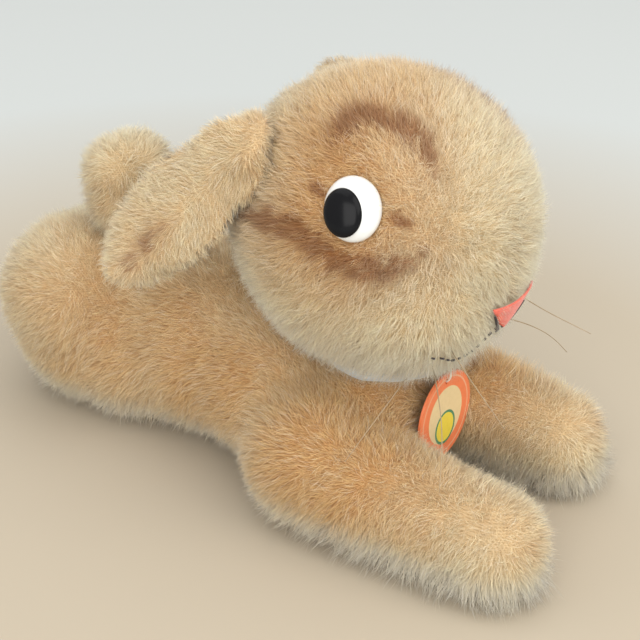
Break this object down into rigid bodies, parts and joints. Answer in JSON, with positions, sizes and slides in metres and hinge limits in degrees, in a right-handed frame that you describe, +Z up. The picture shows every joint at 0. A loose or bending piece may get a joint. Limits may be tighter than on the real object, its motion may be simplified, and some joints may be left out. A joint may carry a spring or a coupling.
{
  "type": "stuffed bunny rabbit",
  "caption": "Lying plush rabbit in short mohair with a disc-jointed turning head, soft lifting ears, an upright stub tail, domed eyes, a satin neck ribbon and a swinging round chest tag.",
  "frame": {"origin": "middle of the flat of the belly, on the surface that the rabbit lies on", "axes": "+Z up, -Y the way the rabbit faces, -X its own right side"},
  "size_m": [0.1045, 0.214, 0.1311],
  "materials": {
    "mohair": "short dense pile",
    "mohair_pale": "short dense pile, paler",
    "wood_wool": "loose fibre",
    "fibreboard": "matt",
    "steel": "satin",
    "white_plastic": "glossy",
    "black_plastic": "glossy",
    "coral_floss": "satin stitch",
    "black_floss": "thread",
    "nylon": "clear monofilament",
    "satin": "satin weave",
    "card": "printed, satin",
    "thread": "cotton thread"
  },
  "bodies": {
    "torso": {"body_panel_right": "mohair", "body_panel_left": "mohair", "belly_panel": "mohair_pale", "body_stuffing": "wood_wool", "leg_right_outer_panel": "mohair", "leg_right_inner_panel": "mohair_pale", "leg_right_stuffing": "wood_wool", "leg_left_outer_panel": "mohair", "leg_left_inner_panel": "mohair_pale", "leg_left_stuffing": "wood_wool", "neck_ribbon": "satin", "neck_disc_lower": "fibreboard", "neck_washer_lower": "steel", "neck_split_pin": "steel"},
    "head": {"head_panel_right": "mohair", "head_panel_left": "mohair", "head_gusset": "mohair", "head_stuffing": "wood_wool", "neck_disc_upper": "fibreboard", "neck_washer_upper": "steel", "eye_right_white": "white_plastic", "eye_right_pupil": "black_plastic", "eye_right_shank": "steel", "eye_left_white": "white_plastic", "eye_left_pupil": "black_plastic", "eye_left_shank": "steel", "nose_embroidery": "coral_floss", "mouth_embroidery": "black_floss", "whisker_right_1": "nylon", "whisker_right_2": "nylon", "whisker_right_3": "nylon", "whisker_left_1": "nylon", "whisker_left_2": "nylon", "whisker_left_3": "nylon"},
    "ear_right": {"ear_right_outer": "mohair", "ear_right_lining": "mohair_pale"},
    "ear_left": {"ear_left_outer": "mohair", "ear_left_lining": "mohair_pale"},
    "tail": {"tail_cover": "mohair", "tail_stuffing": "wood_wool"},
    "tag": {"tag_card": "card", "tag_thread": "thread"}
  },
  "joints": [
    {"name": "head_turn", "type": "hinge", "parent": "torso", "child": "head", "pos_m": [0, -0.055, 0.048], "axis": [0, 0, 1], "range_deg": [-50, 50]},
    {"name": "ear_right_lift", "type": "hinge", "parent": "head", "child": "ear_right", "pos_m": [-0.03367, -0.02737, 0.117], "axis": [0.888, 0.4599, 0], "range_deg": [0, 65], "stiffness_Nm_per_rad": 0.003},
    {"name": "ear_left_lift", "type": "hinge", "parent": "head", "child": "ear_left", "pos_m": [0.02719, -0.02097, 0.117], "axis": [0.9642, -0.2653, 0], "range_deg": [0, 65], "stiffness_Nm_per_rad": 0.003},
    {"name": "tail_bend", "type": "hinge", "parent": "torso", "child": "tail", "pos_m": [0, 0.045, 0.0719], "axis": [1, 0, 0], "range_deg": [-20, 20], "stiffness_Nm_per_rad": 0.01},
    {"name": "tag_swing", "type": "hinge", "parent": "torso", "child": "tag", "pos_m": [0, -0.0752, 0.045], "axis": [1, 0, 0], "range_deg": [-60, 4]}
  ]
}
